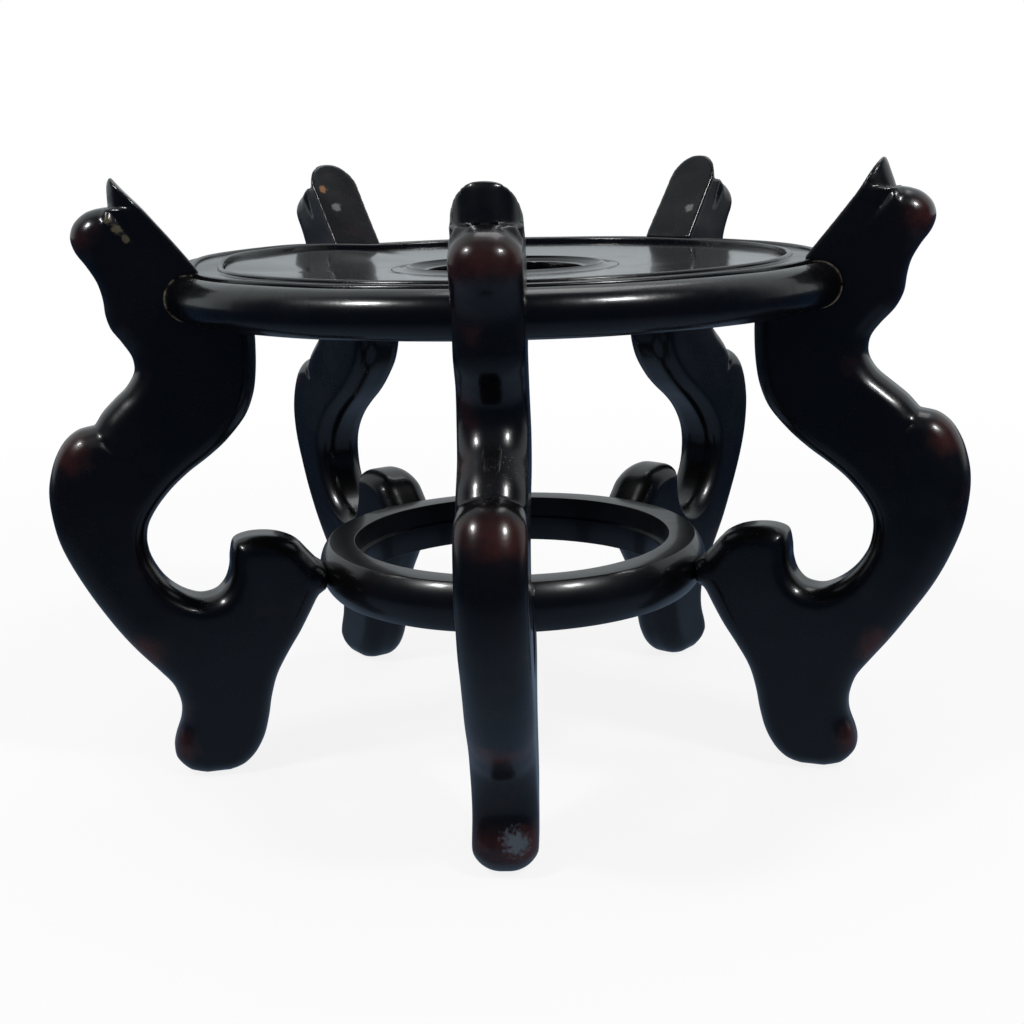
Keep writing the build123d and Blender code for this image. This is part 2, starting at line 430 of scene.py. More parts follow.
@dataclass(frozen=True)
class BareWood:
    """Unfinished timber of the hidden keys and dowels."""

    name: str = "Bare hardwood"
    pale: Colour = (0.34, 0.17, 0.10)
    deep: Colour = (0.20, 0.08, 0.045)
    roughness: float = 0.7
    figure_scale: float = 180.0

    def build(self, effects: dict[type, EffectGroup]) -> bpy.types.Material:
        """Make the material from the shared wood figure."""
        material = bpy.data.materials.new(self.name)
        wiring = Wiring.of(material)
        here = wiring.add("ShaderNodeTexCoord").outputs["Object"]
        figure = effects[WoodFigure].place(wiring, vector=here, scale=self.figure_scale)
        colour = wiring.tint(figure["Streak"], self.pale, self.deep)
        shader = wiring.add("ShaderNodeBsdfPrincipled", {"Base Color": colour, "Roughness": self.roughness})
        wiring.add("ShaderNodeOutputMaterial", {"Surface": shader.outputs[0]})
        return material


@dataclass(frozen=True)
class Stretch:
    """One run of the leg's outline between two corners, as radius and height above the floor."""

    points: tuple[Point, ...]
    edge: float
    rub: float


class Outline:
    """A closed outline that answers how deep a point lies inside it, and how its nearest edge is finished."""

    pitch = 0.5
    margin = 4.0
    batch = 4096

    def __init__(self, stretches: tuple[Stretch, ...], spacing: float = 0.7) -> None:
        """Run a smooth curve through each stretch.

        Args:
            stretches: The outline's runs, each starting where the last one ends.
            spacing: Rough distance between the points of the curve.
        """
        points, edges, rubs = [], [], []
        for stretch in stretches:
            run = self.smooth(np.array(stretch.points, float), spacing)[:-1]
            points.append(run)
            edges.append(np.full(len(run), stretch.edge))
            rubs.append(np.full(len(run), stretch.rub))
        self.points = np.concatenate(points)
        self.traits = np.stack([self.blur(np.concatenate(edges)), self.blur(np.concatenate(rubs))], axis=1)
        self.low = self.points.min(0) - self.margin
        size = np.ceil((self.points.max(0) + self.margin - self.low) / self.pitch).astype(int) + 1
        columns = np.stack([g.ravel() for g in np.indices(size)], axis=1) * self.pitch + self.low
        self.chart = self.survey(columns).reshape(*size, 3)

    @staticmethod
    def smooth(knots: np.ndarray, spacing: float) -> np.ndarray:
        """Points along a Catmull-Rom curve through the knots."""
        if len(knots) == 2:
            return knots
        ends = np.vstack([2 * knots[0] - knots[1], knots, 2 * knots[-1] - knots[-2]])
        out = []
        for first, start, end, last in zip(ends, ends[1:], ends[2:], ends[3:]):
            span = np.linalg.norm(end - start)
            lead = span / max(span, np.linalg.norm(start - first))
            tail = span / max(span, np.linalg.norm(last - end))
            leave, arrive = (end - first) / 2 * lead, (last - start) / 2 * tail
            step = np.linspace(0, 1, max(2, round(span / spacing) + 1))[:-1, None]
            out.append((2 * step**3 - 3 * step**2 + 1) * start + (step**3 - 2 * step**2 + step) * leave
                       + (3 * step**2 - 2 * step**3) * end + (step**3 - step**2) * arrive)
        return np.vstack([*out, knots[-1:]])

    @staticmethod
    def blur(values: np.ndarray, reach: int = 4) -> np.ndarray:
        """Running mean round the closed outline."""
        turned = [np.roll(values, shift) for shift in range(-reach, reach + 1)]
        return np.mean(turned, axis=0)

    def read(self, places: np.ndarray) -> np.ndarray:
        """Depth inside the outline, edge rounding and rubbing at each place, read from the chart.

        Args:
            places: Points as an array of radius and height.

        Returns:
            One row of the three values for each point.
        """
        spot = np.clip((places - self.low) / self.pitch, 0, np.array(self.chart.shape[:2]) - 1.001)
        column, row = spot.astype(int).T
        right, up = (spot - np.stack([column, row], axis=1)).T[..., None]
        under = (1 - right) * self.chart[column, row] + right * self.chart[column + 1, row]
        over = (1 - right) * self.chart[column, row + 1] + right * self.chart[column + 1, row + 1]
        return (1 - up) * under + up * over

    def survey(self, places: np.ndarray) -> np.ndarray:
        """The same three values worked out from the outline itself."""
        start, end = self.points, np.roll(self.points, -1, axis=0)
        run = end - start
        length = (run**2).sum(1)
        found = np.empty((len(places), 3))
        for low in range(0, len(places), self.batch):
            spot = places[low:low + self.batch, None, :]
            along = np.clip(((spot - start) * run).sum(2) / length, 0, 1)
            away = ((spot - start - along[..., None] * run)**2).sum(2)
            nearest = away.argmin(1)
            rises = (start[:, 1] <= spot[..., 1]) != (end[:, 1] <= spot[..., 1])
            with np.errstate(divide="ignore", invalid="ignore"):
                crossing = start[:, 0] + (spot[..., 1] - start[:, 1]) * run[:, 0] / run[:, 1]
            odd = (rises & (crossing > spot[..., 0])).sum(1) % 2 == 1
            distance = np.sqrt(away[np.arange(len(nearest)), nearest])
            found[low:low + self.batch, 0] = np.where(odd, distance, -distance)
            found[low:low + self.batch, 1:] = self.traits[nearest]
        return found


@dataclass
class Groove:
    """V-cut on a leg's side face that runs in from a notch and fades out, as radius and height."""

    start: Point
    end: Point
    width: float
    depth: float
    fading: float = 0.6
    least_width: float = 0.25

    def bite(self, places: np.ndarray) -> np.ndarray:
        """How deep the cut goes below the side face at each point."""
        start, run = np.array(self.start), np.array(self.end) - np.array(self.start)
        along = np.clip(((places - start) * run).sum(1) / (run**2).sum(), 0, 1)
        away = np.linalg.norm(places - start - along[:, None] * run, axis=1)
        fade = (1 - along)**self.fading
        return self.depth * fade * np.clip(1 - away / (self.width * fade + self.least_width), 0, 1)


@dataclass
class CarvedLeg:
    """A leg sawn from a board to an S, rounded over by hand, that rises past the rim as an arm."""

    stock: float = 19.9
    tip_height: float = 201.2
    arris: float = 0.6
    cell: float = 0.85
    rim_inset: float = 0.6
    nose: Place = (107.8, 162.2, 7.2)
    grooves: tuple[Groove, ...] = (
        Groove((128.6, 191.4), (121.6, 180.6), 2.4, 1.7),
        Groove((138.6, 122.2), (133.2, 114.4), 2.4, 1.9))
    handled: tuple = (((140.5, 184.0), 10.0), ((149.0, 116.0), 9.0), ((120.5, 10.0), 9.0), ((128.0, 45.0), 8.0))
    toe: Stretch = Stretch((
        (112.0, 0.0), (117.5, 1.6), (121.5, 6.0), (122.0, 9.5), (121.3, 13.0), (119.0, 19.5), (118.8, 25.0),
        (121.0, 32.0), (125.0, 37.5), (132.5, 47.0), (139.0, 56.5), (145.0, 66.5), (150.0, 77.0), (153.5, 87.0),
        (155.0, 97.0), (154.7, 104.0), (152.5, 112.0), (149.0, 118.0), (144.5, 121.6), (138.8, 122.9)), 9.2, 0.3)
    neck: Stretch = Stretch((
        (138.8, 122.9), (135.6, 127.0), (131.0, 131.2), (127.0, 134.8), (124.3, 139.5), (124.6, 144.5),
        (127.6, 149.5), (131.0, 154.0), (132.6, 158.5), (133.2, 164.0), (134.5, 169.0), (137.2, 174.0),
        (140.2, 178.5), (141.3, 182.8), (140.0, 187.0), (136.5, 190.2), (132.5, 191.6), (129.4, 192.2)), 8.9, 0.25)
    tip: Stretch = Stretch(((129.4, 192.2), (129.0, 195.6), (128.2, 198.8), (126.6, 201.4)), 0.8, 0.3)
    arm: Stretch = Stretch(((126.6, 201.4), (112.2, 182.4), (103.0, 170.6)), 0.8, 0.2)
    shelf: Stretch = Stretch(((103.0, 170.6), (103.0, 163.0), (88.6, 155.6), (86.4, 153.5)), 1.0, 0.0)
    front: Point = (129.3, 192.0)
    lean: float = 0.18
    ridge: float = 0.45
    tongue_drop: float = 8.0
    rub_depth: float = 9.0
    rub_strength: float = 1.2
    handled_strength: float = 1.3
    settling: int = 3
    least_slope: float = 0.2
    longest_move: float = 0.5
    throat: Stretch = Stretch((
        (86.4, 153.5), (86.2, 147.0), (86.6, 138.0), (88.0, 130.0), (91.3, 122.5), (97.8, 115.0), (103.8, 110.0),
        (110.9, 105.0), (117.0, 100.0), (121.8, 94.5), (124.8, 89.0), (125.5, 83.5), (124.3, 77.0), (120.5, 70.0),
        (115.3, 65.0), (109.3, 62.2), (104.0, 63.0), (100.8, 66.2), (99.1, 71.0), (98.6, 76.0), (97.2, 80.6),
        (93.0, 82.3), (87.2, 82.4), (81.5, 81.2), (76.7, 78.7), (72.9, 74.4), (70.0, 71.0), (67.7, 69.0)), 7.5, 0.1)
    seat: Stretch = Stretch(((67.7, 69.0), (67.3, 66.0), (67.7, 62.0)), 3.5, 0.0)
    heel: Stretch = Stretch((
        (67.7, 62.0), (70.4, 59.0), (72.9, 54.5), (76.7, 47.8), (81.5, 40.4), (85.6, 33.0), (87.9, 25.5),
        (89.4, 18.0), (91.5, 11.0), (94.9, 5.2), (99.0, 1.6), (104.0, 0.0)), 8.6, 0.2)
    foot: Stretch = Stretch(((104.0, 0.0), (112.0, 0.0)), 6.0, 0.3)

    def __post_init__(self) -> None:
        """Join the stretches into one outline."""
        runs = (self.toe, self.neck, self.tip, self.arm, self.shelf, self.throat, self.seat, self.heel, self.foot)
        self.outline = Outline(runs)

    def side(self, places: np.ndarray) -> tuple[np.ndarray, ...]:
        """Everything that depends only on a point's radius and height on the board."""
        depth, edge, rub = self.outline.read(places).T
        bite = sum(groove.bite(places) for groove in self.grooves)
        return depth, edge, rub, bite

    def solid(self, radius, across, height, depth, edge, bite) -> np.ndarray:
        """Field that is positive inside the carved leg and falls by about 1 for each millimetre.

        Args:
            radius: Distance out from the stand's axis along the board.
            across: Distance from the board's middle plane.
            height: Height above the floor.
            depth: Depth inside the sawn outline.
            edge: Rounding of the nearest edge.
            bite: Depth of the V-cuts.

        Returns:
            The field's value at each point.
        """
        half = self.stock / 2
        away = np.abs(across)
        edge = np.minimum(edge, half)
        inward, outward = edge - depth, away - (half + self.ridge - edge)
        corner = np.hypot(np.maximum(inward, 0), np.maximum(outward, 0)) + np.minimum(np.maximum(inward, outward), 0)
        value = edge - corner
        value = self.blend(value, half - bite - away, self.arris)
        tongue = half - np.hypot(away, np.maximum(height - (self.tip_height - half), 0))
        front = self.front[0] - self.lean * (height - self.front[1])
        face = half - np.hypot(away, np.maximum(radius - (front - half), 0))
        face = face + self.tongue_drop * np.maximum(self.front[1] - height, 0)
        value = self.blend(value, np.minimum(tongue, face), self.arris)
        centre, level, nose = self.nose
        reach = np.hypot(np.maximum(np.hypot(radius, across) - centre, 0), height - level)
        return np.minimum(value, reach - nose + self.rim_inset)

    @staticmethod
    def blend(first: np.ndarray, second: np.ndarray, reach: float) -> np.ndarray:
        """Smaller of two fields, with the corner between them eased."""
        near = np.maximum(reach - np.abs(first - second), 0) / reach
        return np.minimum(first, second) - near**2 * reach / 4

    def carve(self) -> tuple[np.ndarray, list, np.ndarray]:
        """Mesh the leg standing along +X, in millimetres above the floor.

        Returns:
            Vertices, quads and the rubbing at each vertex.
        """
        low = self.outline.points.min(0) - 2 * self.cell
        high = self.outline.points.max(0) + 2 * self.cell
        wide = self.stock / 2 + 2 * self.cell
        axes = [np.arange(a, b, self.cell) for a, b in ((low[0], high[0]), (-wide, wide), (low[1], high[1]))]
        across_board = np.stack([g.ravel() for g in np.meshgrid(axes[0], axes[2], indexing="ij")], axis=1)
        traits = [t.reshape(len(axes[0]), 1, len(axes[2])) for t in self.side(across_board)]
        radius, across, height = np.meshgrid(*axes, indexing="ij", sparse=True)
        values = self.solid(radius, across, height, traits[0], traits[1], traits[3])
        corners, quads = surface_net(values)
        points = corners * self.cell + np.array([a[0] for a in axes])
        for _ in range(self.settling):
            points = self.settle(points)
        depth, _, rub, _ = self.side(points[:, ::2])
        marking = rub * np.clip(self.rub_strength - depth / self.rub_depth, 0, 1)
        for place, reach in self.handled:
            away = np.linalg.norm(points[:, ::2] - np.array(place), axis=1)
            marking = np.maximum(marking, np.clip(self.handled_strength - away / reach, 0, 1))
        return points, quads, marking

    def settle(self, points: np.ndarray, step: float = 0.05) -> np.ndarray:
        """Move vertices along the field's slope onto the carved surface."""
        here = self.sample(points)
        slope = np.stack([self.sample(points + step * np.eye(3)[axis]) - here for axis in range(3)], axis=1) / step
        size = np.maximum((slope**2).sum(1), self.least_slope)
        return points - np.clip(here / size, -self.longest_move, self.longest_move)[:, None] * slope

    def sample(self, points: np.ndarray) -> np.ndarray:
        """The field at loose points."""
        depth, edge, _, bite = self.side(points[:, ::2])
        return self.solid(points[:, 0], points[:, 1], points[:, 2], depth, edge, bite)

    def mesh(self) -> bpy.types.Mesh:
        """The carved leg as a mesh in metres, in the part's own heights."""
        points, quads, marking = self.carve()
        mesh = bpy.data.meshes.new("carved leg")
        mesh.from_pydata((points + np.array([0, 0, FLOOR])) * MM, [], quads)
        mesh.polygons.foreach_set("use_smooth", [True] * len(mesh.polygons))
        mesh.attributes.new("rub", "FLOAT", "POINT").data.foreach_set("value", marking.astype(np.float32))
        log.info("carved leg: %d vertices, %d quads", len(mesh.vertices), len(mesh.polygons))
        return mesh


def surface_net(values: np.ndarray) -> tuple[np.ndarray, list]:
    """Quads round the zero level of a sampled field.

    Args:
        values: The field on a regular grid, positive inside.

    Returns:
        Vertices in grid steps, and quads that face outwards.
    """
    totals = np.zeros(values.shape + (3,))
    counts = np.zeros(values.shape)
    quads = []
    for axis in range(3):
        first, second = (axis + 1) % 3, (axis + 2) % 3
        near = np.moveaxis(np.moveaxis(values, axis, 0)[:-1], 0, axis)
        far = np.moveaxis(np.moveaxis(values, axis, 0)[1:], 0, axis)
        crossed = np.argwhere((near > 0) != (far > 0))
        before, after = near[tuple(crossed.T)], far[tuple(crossed.T)]
        spots = crossed.astype(float)
        spots[:, axis] += before / (before - after)
        ring = []
        for turn in ((0, 0), (1, 0), (1, 1), (0, 1)):
            cell = crossed.copy()
            cell[:, first] -= turn[0]
            cell[:, second] -= turn[1]
            np.add.at(totals, tuple(cell.T), spots)
            np.add.at(counts, tuple(cell.T), 1)
            ring.append(np.ravel_multi_index(tuple(cell.T), values.shape))
        faces = np.stack(ring, axis=1)
        faces[before < 0] = faces[before < 0][:, ::-1]
        quads.append(faces)
    used, faces = np.unique(np.concatenate(quads), return_inverse=True)
    points = totals.reshape(-1, 3)[used] / counts.reshape(-1)[used][:, None]
    return points, faces.reshape(-1, 4).tolist()


class ShapeTree:
    """A Geometry Nodes tree with named inputs, used on an object and turned into a plain mesh."""

    title = "Shape"
    inputs: dict = {}
    waver_scale = 30.0
    waver_gain = 4.0

    def __init__(self) -> None:
        """Make the tree's sockets and fill it."""
        self.tree = bpy.data.node_groups.new(self.title, "GeometryNodeTree")
        for way in ("INPUT", "OUTPUT"):
            self.tree.interface.new_socket(name="Geometry", in_out=way, socket_type="NodeSocketGeometry")
        self.keys = open_inputs(self.tree, {**self.inputs, "Finish": None})
        wiring = Wiring(self.tree)
        source = wiring.add("NodeGroupInput").outputs
        shape = self.fill(wiring, source)
        real = wiring.add("GeometryNodeRealizeInstances", {0: shape}).outputs[0]
        coloured = wiring.add("GeometryNodeSetMaterial", {"Geometry": real, "Material": source["Finish"]}).outputs[0]
        wiring.add("NodeGroupOutput", {0: coloured})

    def fill(self, wiring: Wiring, source) -> Socket:
        """Build the shape and return its geometry socket."""
        raise NotImplementedError

    def wavered(self, wiring: Wiring, source, geometry, share=1.0) -> Socket:
        """Let a surface waver as hand work does.

        Args:
            wiring: The tree's wiring.
            source: The tree's inputs, of which Seed and Waver are used.
            geometry: The surface.
            share: How much of the waver reaches each point.

        Returns:
            The wavered surface.
        """
        here = wiring.add("GeometryNodeInputPosition").outputs[0]
        noise = wiring.add("ShaderNodeTexNoise", {"Vector": here, "W": source["Seed"], "Scale": self.waver_scale,
                                                  "Detail": 1.0}, noise_dimensions="4D").outputs["Color"]
        centred = wiring.vector("SUBTRACT", noise, (0.5, 0.5, 0.5))
        amount = wiring.times(source["Waver"], self.waver_gain, share)
        return wiring.shift(geometry, wiring.vector("MULTIPLY", centred, amount))

    def make(self, name: str, mesh: bpy.types.Mesh, **values) -> bpy.types.Object:
        """Run the tree once.

        Args:
            name: Name of the finished piece.
            mesh: The mesh that the tree starts from.
            values: Input names, with spaces written as underscores, and their values.

        Returns:
            A plain object with the finished mesh.
        """
        blank = put_in_scene(name, mesh)
        modifier = blank.modifiers.new("Shape", "NODES")
        modifier.node_group = self.tree
        for key, value in values.items():
            modifier[self.keys[input_name(key)]] = value
        graph = bpy.context.evaluated_depsgraph_get()
        made = bpy.data.meshes.new_from_object(blank.evaluated_get(graph))
        made.name = name
        blank.modifiers.clear()
        blank.data = made
        return blank


class LegInPlace(ShapeTree):
    """Gives a carved leg its own slight unevenness and stands it in its place round the axis."""

    title = "Leg in place"
    inputs = {"Angle": 0.0, "Turn": 0.0, "Pivot radius": 0.115, "Tip out": 0.0, "Tip rise": 0.0, "Outer rise": 0.0,
              "Waist out": 0.0, "Waver": 0.0004, "Seed": 0.0}
    waver_scale = 26.0
    foot_levels = (-0.167, -0.15)
    tip_levels = (0.022, 0.033)
    outer_levels, outer_radii = (-0.165, -0.055), (0.108, 0.124)
    waist_from, waist_to, waist_radii = (-0.050, -0.030), (-0.022, -0.004), (0.100, 0.118)

    def fill(self, wiring: Wiring, source) -> Socket:
        """Waver the surface, turn the leg in its housing and swing it to its angle."""
        here = wiring.split(wiring.add("GeometryNodeInputPosition").outputs[0])
        wavy = self.wavered(wiring, source, source["Geometry"], wiring.ramp(here["Z"], *self.foot_levels))
        pivot = wiring.join(x=source["Pivot radius"])
        centred = wiring.add("GeometryNodeTransform", {
            "Geometry": wiring.shift(wavy, self.unevenness(wiring, source, here)),
            "Translation": wiring.vector("MULTIPLY", pivot, (-1.0, -1.0, -1.0))})
        turned = wiring.add("GeometryNodeTransform", {
            "Geometry": centred.outputs[0], "Rotation": wiring.join(z=source["Turn"]), "Translation": pivot})
        return wiring.add("GeometryNodeTransform", {
            "Geometry": turned.outputs[0], "Rotation": wiring.join(z=source["Angle"])}).outputs[0]

    def unevenness(self, wiring: Wiring, source, here) -> Socket:
        """How far this leg's tip, knob and waist stray from the pattern, at each height."""
        tip = wiring.ramp(here["Z"], *self.tip_levels)
        outer = wiring.times(wiring.ramp(here["Z"], *self.outer_levels), wiring.ramp(here["X"], *self.outer_radii))
        band = wiring.math("SUBTRACT", wiring.ramp(here["Z"], *self.waist_from),
                           wiring.ramp(here["Z"], *self.waist_to))
        waist = wiring.times(band, source["Waist out"], wiring.ramp(here["X"], *self.waist_radii))
        outward = wiring.math("MULTIPLY_ADD", tip, source["Tip out"], waist)
        upward = wiring.math("MULTIPLY_ADD", tip, source["Tip rise"], wiring.times(outer, source["Outer rise"]))
        return wiring.join(x=outward, z=upward)


class TurnedMoulding(ShapeTree):
    """Sweeps a moulding profile round the axis, in one bay or the whole way."""

    title = "Turned moulding"
    inputs = {"Spine radius": 0.1, "Start": 0.0, "Sweep": math.tau, "Steps": 64, "Whole": False, "Waver": 0.0001,
              "Seed": 0.0, "Warp": 0.0, "Warp angle": math.radians(160.0)}
    warp_bearing = (0.8, 0.98)
    warp_radii = (0.045, 0.095)

    def fill(self, wiring: Wiring, source) -> Socket:
        """Sweep the profile and let the turner's hand show a little."""
        arc = wiring.add("GeometryNodeCurveArc", {
            "Radius": source["Spine radius"], "Start Angle": source["Start"], "Sweep Angle": source["Sweep"],
            "Resolution": source["Steps"]}).outputs["Curve"]
        circle = wiring.add("GeometryNodeCurvePrimitiveCircle", {
            "Radius": source["Spine radius"], "Resolution": source["Steps"]}).outputs["Curve"]
        spine = wiring.add("GeometryNodeSwitch", {"Switch": source["Whole"], "False": arc, "True": circle})
        upright = wiring.add("GeometryNodeSetCurveNormal", {"Curve": spine.outputs[0]}, mode="Z_UP")
        profile = wiring.add("GeometryNodeMeshToCurve", {0: source["Geometry"]}).outputs[0]
        swept = wiring.add("GeometryNodeCurveToMesh", {
            "Curve": upright.outputs[0], "Profile Curve": profile, "Fill Caps": True}).outputs[0]
        warped = wiring.shift(self.wavered(wiring, source, swept), self.warp(wiring, source))
        return wiring.add("GeometryNodeSetShadeSmooth", {"Geometry": warped}).outputs[0]

    def warp(self, wiring: Wiring, source) -> Socket:
        """How far the top has warped up at one side, at each place."""
        here = wiring.add("GeometryNodeInputPosition").outputs[0]
        flat = wiring.vector("MULTIPLY", here, (1.0, 1.0, 0.0))
        angle = source["Warp angle"]
        toward = wiring.join(x=wiring.math("COSINE", angle), y=wiring.math("SINE", angle))
        bearing = wiring.vector("DOT_PRODUCT", wiring.vector("NORMALIZE", flat), toward)
        share = wiring.times(wiring.ramp(bearing, *self.warp_bearing),
                             wiring.ramp(wiring.vector("LENGTH", flat), *self.warp_radii))
        return wiring.join(z=wiring.times(share, source["Warp"]))


class Profile:
    """A moulding's cross-section, drawn as radius and height above the floor."""

    sharp = math.radians(25)
    longest_cut = 0.45
    facets = 4

    def __init__(self, start: Point) -> None:
        """Begin at a point."""
        self.points = [start]

    def line(self, *points: Point) -> "Profile":
        """Straight lines to the points."""
        self.points += points
        return self

    def arc(self, centre: Point, start: float, end: float, radius: float, steps: int = 12) -> "Profile":
        """Arc about a centre between two angles in degrees."""
        for step in range(steps + 1):
            angle = math.radians(start + (end - start) * step / steps)
            self.points.append((centre[0] + radius * math.cos(angle), centre[1] + radius * math.sin(angle)))
        return self

    def mesh(self, name: str, spine: float, eased: float = 0.25) -> bpy.types.Mesh:
        """Closed wire of the section, with every sharp corner eased by short facets.

        Args:
            name: Name of the mesh.
            spine: Radius of the circle that the section is swept along.
            eased: Cut back from each sharp corner.

        Returns:
            A mesh of edges, laid out for the sweep.
        """
        points = []
        for index, here in enumerate(self.points):
            corner, before = Vector(here), Vector(self.points[index - 1])
            after = Vector(self.points[(index + 1) % len(self.points)])
            arrive, leave = corner - before, after - corner
            if min(arrive.length, leave.length) < 1e-6:
                continue
            if arrive.angle(leave) < self.sharp:
                points.append(corner)
                continue
            first = corner - arrive.normalized() * min(eased, arrive.length * self.longest_cut)
            last = corner + leave.normalized() * min(eased, leave.length * self.longest_cut)
            for step in range(self.facets + 1):
                t = step / self.facets
                points.append((1 - t)**2 * first + 2 * t * (1 - t) * corner + t**2 * last)
        verts = [((p.x - spine) * MM, -(p.y + FLOOR) * MM, 0.0) for p in points]
        mesh = bpy.data.meshes.new(name)
        mesh.from_pydata(verts, [(i, (i + 1) % len(verts)) for i in range(len(verts))], [])
        return mesh


@dataclass
class PlatformRim:
    """The bullnosed rim with a bead and a lip on its top and a rabbet for the panel."""

    radius: float = 115.0
    inner: float = 88.0
    bottom: float = 155.0
    height: float = 14.4
    quirk: float = 0.7
    bead: float = 1.1
    bead_inset: float = 10.0
    bead_rise: float = 0.9
    bead_foot: float = 0.6
    lip: float = 1.0
    lip_inset: float = 19.9
    lip_rise: float = 1.2
    lip_foot: float = 0.5
    sunk: float = 0.1

    def section(self) -> Profile:
        """Profile of the rim."""
        nose = self.height / 2
        top = self.bottom + self.height
        centre = self.radius - nose
        bead = (self.radius - self.bead_inset, top + self.bead_rise - self.bead)
        lip = (self.radius - self.lip_inset, top + self.lip_rise - self.lip)
        between = ((bead[0] - self.bead - self.bead_foot, top - self.sunk),
                   (lip[0] + self.lip + self.lip_foot, top - self.sunk))
        return (Profile((self.inner, self.bottom)).arc((centre, self.bottom + nose), -90, 88, nose, 30)
                .line((centre - self.quirk, top - self.quirk)).arc(bead, -20, 200, self.bead, 14).line(*between)
                .arc(lip, 0, 180, self.lip, 10).line((lip[0] - self.lip, LEDGE), (self.inner, LEDGE)))


@dataclass
class LowRing:
    """The stretcher ring between the scroll heads, with a lower tier that stands proud inside."""

    radius: float = 67.9
    bottom: float = 57.0
    height: float = 16.5
    top_width: float = 9.0
    bulge: float = 3.5
    step: float = 1.6
    step_height: float = 9.0

    def section(self) -> Profile:
        """Profile of the ring."""
        half = self.height / 2
        top = self.bottom + self.height
        spread = (half**2 + self.bulge**2) / (2 * self.bulge)
        centre = self.radius - spread
        swing = math.degrees(math.asin(half / spread))
        inner = self.radius - self.bulge - self.top_width
        level = self.bottom + self.step_height
        return (Profile((inner - self.step, self.bottom)).arc((centre, self.bottom + half), -swing, swing, spread, 20)
                .line((inner, top), (inner, level), (inner - self.step, level)))


@dataclass
class Panel:
    """The disc that lies in the rim's rabbet, open in the middle for the collar and worked slightly hollow."""

    inner: float = 32.65
    flange: float = 38.65
    rebate: float = 2.4
    radius: float = 93.9
    thickness: float = 6.8
    top: float = SEAT
    low: float = 0.3
    high: float = 1.5

    def section(self) -> Profile:
        """Profile of the panel."""
        bottom = self.top - self.thickness
        span = self.radius - self.flange
        hollow = [(self.flange + span * step, self.top - self.low + (self.low + self.high) * step**1.5)
                  for step in (0.97, 0.9, 0.8, 0.7, 0.6, 0.5, 0.4, 0.3, 0.2, 0.1, 0.0)]
        return Profile((self.inner, bottom)).line(
            (self.radius, bottom), (self.radius, self.top + self.high), *hollow,
            (self.flange, self.top - self.rebate), (self.inner, self.top - self.rebate))


@dataclass
class Collar:
    """The moulded collar that lines the centre hole."""

    hole: float = 26.5
    neck: float = 32.5
    flange: float = 38.5
    crest: float = 33.2
    rise: float = 0.7
    lip: float = 0.45
    dish: float = 1.0
    flange_thickness: float = 2.4
    bottom: float = LEDGE
    top: float = SEAT
    cove: float = 0.3

    def section(self) -> Profile:
        """Profile of the collar: a cove up to a crisp lip, then a shallow dish down to the hole."""
        under = self.top - self.flange_thickness
        lip = (self.crest, self.top + self.rise - self.lip)
        run = self.flange - self.crest - self.lip
        cove = [(self.flange - run * step, self.top - self.cove + (self.rise - self.lip + self.cove) * step**2)
                for step in (0.0, 0.25, 0.5, 0.75)]
        hollow = [(self.hole + (self.crest - self.lip - self.hole) * step,
                   self.top - self.dish + (self.dish + self.rise - 2 * self.lip) * step**1.6)
                  for step in (0.85, 0.6, 0.35, 0.0)]
        return (Profile((self.hole, self.bottom)).line((self.neck, self.bottom), (self.neck, under),
                                                       (self.flange, under), *cove)
                .arc(lip, 30, 160, self.lip, 8).line(*hollow))


@dataclass(frozen=True)
class Lamp:
    """A square lamp: its bearing from the front and height angle in degrees, distance, width and power."""

    name: str
    azimuth: float
    elevation: float
    distance: float
    width: float
    power: float


